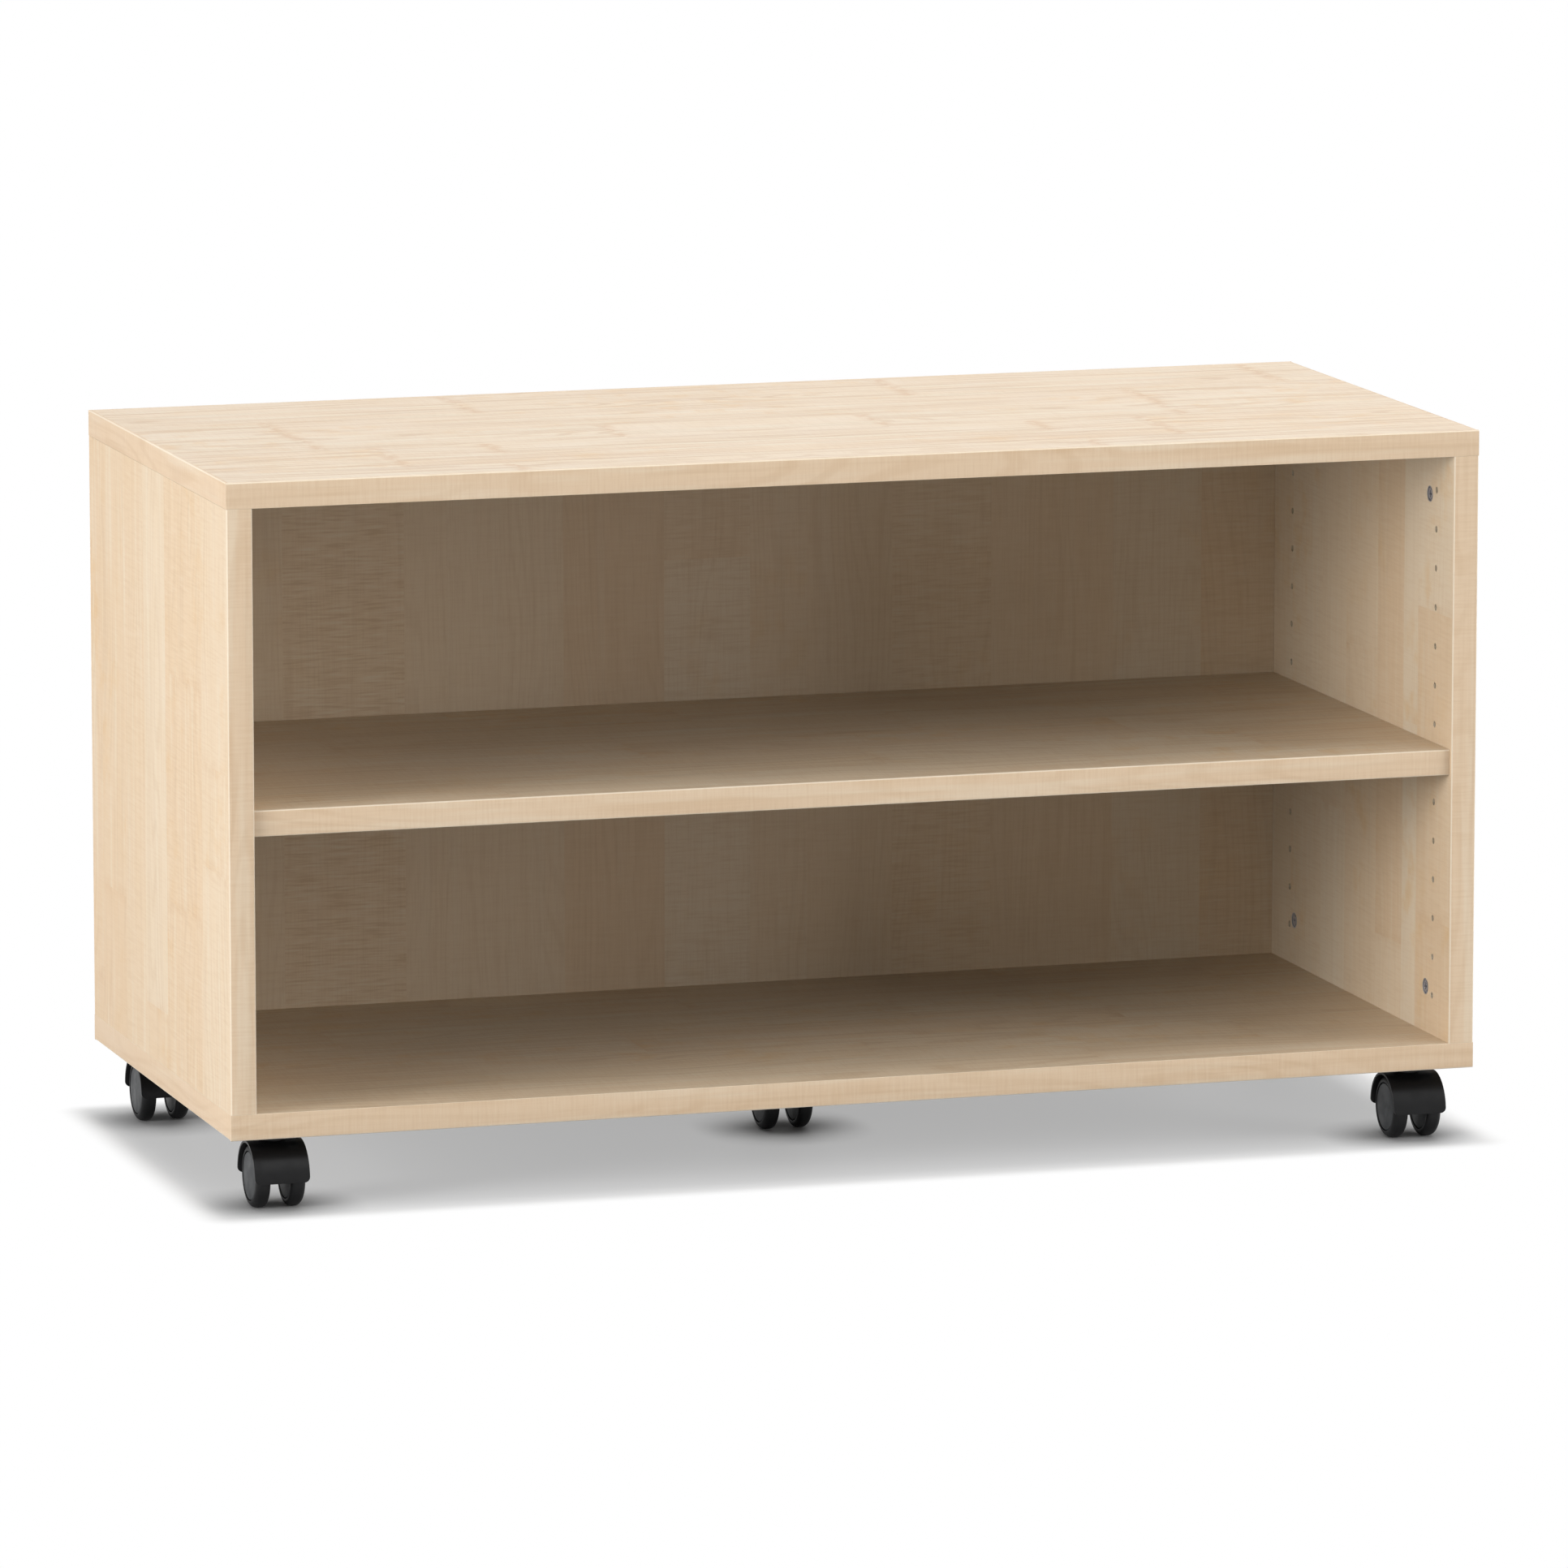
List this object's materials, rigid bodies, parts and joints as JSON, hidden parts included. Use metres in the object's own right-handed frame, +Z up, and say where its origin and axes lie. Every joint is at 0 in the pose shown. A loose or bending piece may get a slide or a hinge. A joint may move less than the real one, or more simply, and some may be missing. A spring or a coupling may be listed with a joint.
{
  "type": "shelf unit",
  "caption": "Low open-fronted maple-board shelf unit with an adjustable shelf, an inset back panel and hooded twin-wheel casters to roll it about.",
  "frame": {"origin": "on the floor, below the middle of the case", "axes": "+X along the width to the unit's right, +Y to the back, +Z up"},
  "size_m": [0.944, 0.408, 0.529],
  "materials": {
    "maple_board": "satin light maple melamine with fine grain",
    "maple_edging": "satin maple edging with rounded arrises",
    "cam_zinc": "die-cast zinc",
    "plated_steel": "zinc-plated steel",
    "dowel_wood": "plain beech",
    "hood_plastic": "satin black moulded nylon",
    "hub_plastic": "satin dark grey moulded nylon",
    "tyre_rubber": "matt black tread"
  },
  "bodies": {
    "case": {"top_panel": "maple_board", "bottom_panel": "maple_board", "left_side_panel": "maple_board", "right_side_panel": "maple_board", "back_panel": "maple_board", "top_panel_edging": "maple_edging", "bottom_panel_edging": "maple_edging", "left_side_edging": "maple_edging", "right_side_edging": "maple_edging", "cam_locks": "cam_zinc", "cam_bolts": "plated_steel", "dowels": "dowel_wood", "shelf_pins": "plated_steel", "caster_screws": "plated_steel", "front_left_caster_plate": "plated_steel", "front_left_caster_kingpin": "plated_steel", "front_right_caster_plate": "plated_steel", "front_right_caster_kingpin": "plated_steel", "rear_left_caster_plate": "plated_steel", "rear_left_caster_kingpin": "plated_steel", "rear_right_caster_plate": "plated_steel", "rear_right_caster_kingpin": "plated_steel", "middle_caster_plate": "plated_steel", "middle_caster_kingpin": "plated_steel"},
    "shelf": {"shelf": "maple_board", "shelf_edging": "maple_edging"},
    "front_left_swivel": {"front_left_caster_hood": "hood_plastic", "front_left_caster_axle": "plated_steel"},
    "front_left_left_wheel": {"front_left_caster_left_wheel_hub": "hub_plastic", "front_left_caster_left_wheel_tyre": "tyre_rubber"},
    "front_left_right_wheel": {"front_left_caster_right_wheel_hub": "hub_plastic", "front_left_caster_right_wheel_tyre": "tyre_rubber"},
    "front_right_swivel": {"front_right_caster_hood": "hood_plastic", "front_right_caster_axle": "plated_steel"},
    "front_right_left_wheel": {"front_right_caster_left_wheel_hub": "hub_plastic", "front_right_caster_left_wheel_tyre": "tyre_rubber"},
    "front_right_right_wheel": {"front_right_caster_right_wheel_hub": "hub_plastic", "front_right_caster_right_wheel_tyre": "tyre_rubber"},
    "rear_left_swivel": {"rear_left_caster_hood": "hood_plastic", "rear_left_caster_axle": "plated_steel"},
    "rear_left_left_wheel": {"rear_left_caster_left_wheel_hub": "hub_plastic", "rear_left_caster_left_wheel_tyre": "tyre_rubber"},
    "rear_left_right_wheel": {"rear_left_caster_right_wheel_hub": "hub_plastic", "rear_left_caster_right_wheel_tyre": "tyre_rubber"},
    "rear_right_swivel": {"rear_right_caster_hood": "hood_plastic", "rear_right_caster_axle": "plated_steel"},
    "rear_right_left_wheel": {"rear_right_caster_left_wheel_hub": "hub_plastic", "rear_right_caster_left_wheel_tyre": "tyre_rubber"},
    "rear_right_right_wheel": {"rear_right_caster_right_wheel_hub": "hub_plastic", "rear_right_caster_right_wheel_tyre": "tyre_rubber"},
    "middle_swivel": {"middle_caster_hood": "hood_plastic", "middle_caster_axle": "plated_steel"},
    "middle_left_wheel": {"middle_caster_left_wheel_hub": "hub_plastic", "middle_caster_left_wheel_tyre": "tyre_rubber"},
    "middle_right_wheel": {"middle_caster_right_wheel_hub": "hub_plastic", "middle_caster_right_wheel_tyre": "tyre_rubber"}
  },
  "joints": [
    {"name": "shelf_lift", "type": "slide", "parent": "case", "child": "shelf", "axis": [0, 0, 1], "range_m": [0, 0.21]},
    {"name": "front_left_swivel_turn", "type": "hinge", "parent": "case", "child": "front_left_swivel", "pos_m": [-0.433, -0.1675, 0.05], "axis": [0, 0, 1], "continuous": true},
    {"name": "front_left_left_wheel_spin", "type": "hinge", "parent": "front_left_swivel", "child": "front_left_left_wheel", "pos_m": [-0.433, -0.173, 0.023], "axis": [1, 0, 0], "continuous": true},
    {"name": "front_left_right_wheel_spin", "type": "hinge", "parent": "front_left_swivel", "child": "front_left_right_wheel", "pos_m": [-0.433, -0.173, 0.023], "axis": [1, 0, 0], "continuous": true},
    {"name": "front_right_swivel_turn", "type": "hinge", "parent": "case", "child": "front_right_swivel", "pos_m": [0.433, -0.1675, 0.05], "axis": [0, 0, 1], "continuous": true},
    {"name": "front_right_left_wheel_spin", "type": "hinge", "parent": "front_right_swivel", "child": "front_right_left_wheel", "pos_m": [0.433, -0.173, 0.023], "axis": [1, 0, 0], "continuous": true},
    {"name": "front_right_right_wheel_spin", "type": "hinge", "parent": "front_right_swivel", "child": "front_right_right_wheel", "pos_m": [0.433, -0.173, 0.023], "axis": [1, 0, 0], "continuous": true},
    {"name": "rear_left_swivel_turn", "type": "hinge", "parent": "case", "child": "rear_left_swivel", "pos_m": [-0.433, 0.1675, 0.05], "axis": [0, 0, 1], "continuous": true},
    {"name": "rear_left_left_wheel_spin", "type": "hinge", "parent": "rear_left_swivel", "child": "rear_left_left_wheel", "pos_m": [-0.433, 0.162, 0.023], "axis": [1, 0, 0], "continuous": true},
    {"name": "rear_left_right_wheel_spin", "type": "hinge", "parent": "rear_left_swivel", "child": "rear_left_right_wheel", "pos_m": [-0.433, 0.162, 0.023], "axis": [1, 0, 0], "continuous": true},
    {"name": "rear_right_swivel_turn", "type": "hinge", "parent": "case", "child": "rear_right_swivel", "pos_m": [0.433, 0.1675, 0.05], "axis": [0, 0, 1], "continuous": true},
    {"name": "rear_right_left_wheel_spin", "type": "hinge", "parent": "rear_right_swivel", "child": "rear_right_left_wheel", "pos_m": [0.433, 0.162, 0.023], "axis": [1, 0, 0], "continuous": true},
    {"name": "rear_right_right_wheel_spin", "type": "hinge", "parent": "rear_right_swivel", "child": "rear_right_right_wheel", "pos_m": [0.433, 0.162, 0.023], "axis": [1, 0, 0], "continuous": true},
    {"name": "middle_swivel_turn", "type": "hinge", "parent": "case", "child": "middle_swivel", "pos_m": [0, 0, 0.05], "axis": [0, 0, 1], "continuous": true},
    {"name": "middle_left_wheel_spin", "type": "hinge", "parent": "middle_swivel", "child": "middle_left_wheel", "pos_m": [0, -0.0055, 0.023], "axis": [1, 0, 0], "continuous": true},
    {"name": "middle_right_wheel_spin", "type": "hinge", "parent": "middle_swivel", "child": "middle_right_wheel", "pos_m": [0, -0.0055, 0.023], "axis": [1, 0, 0], "continuous": true}
  ]
}
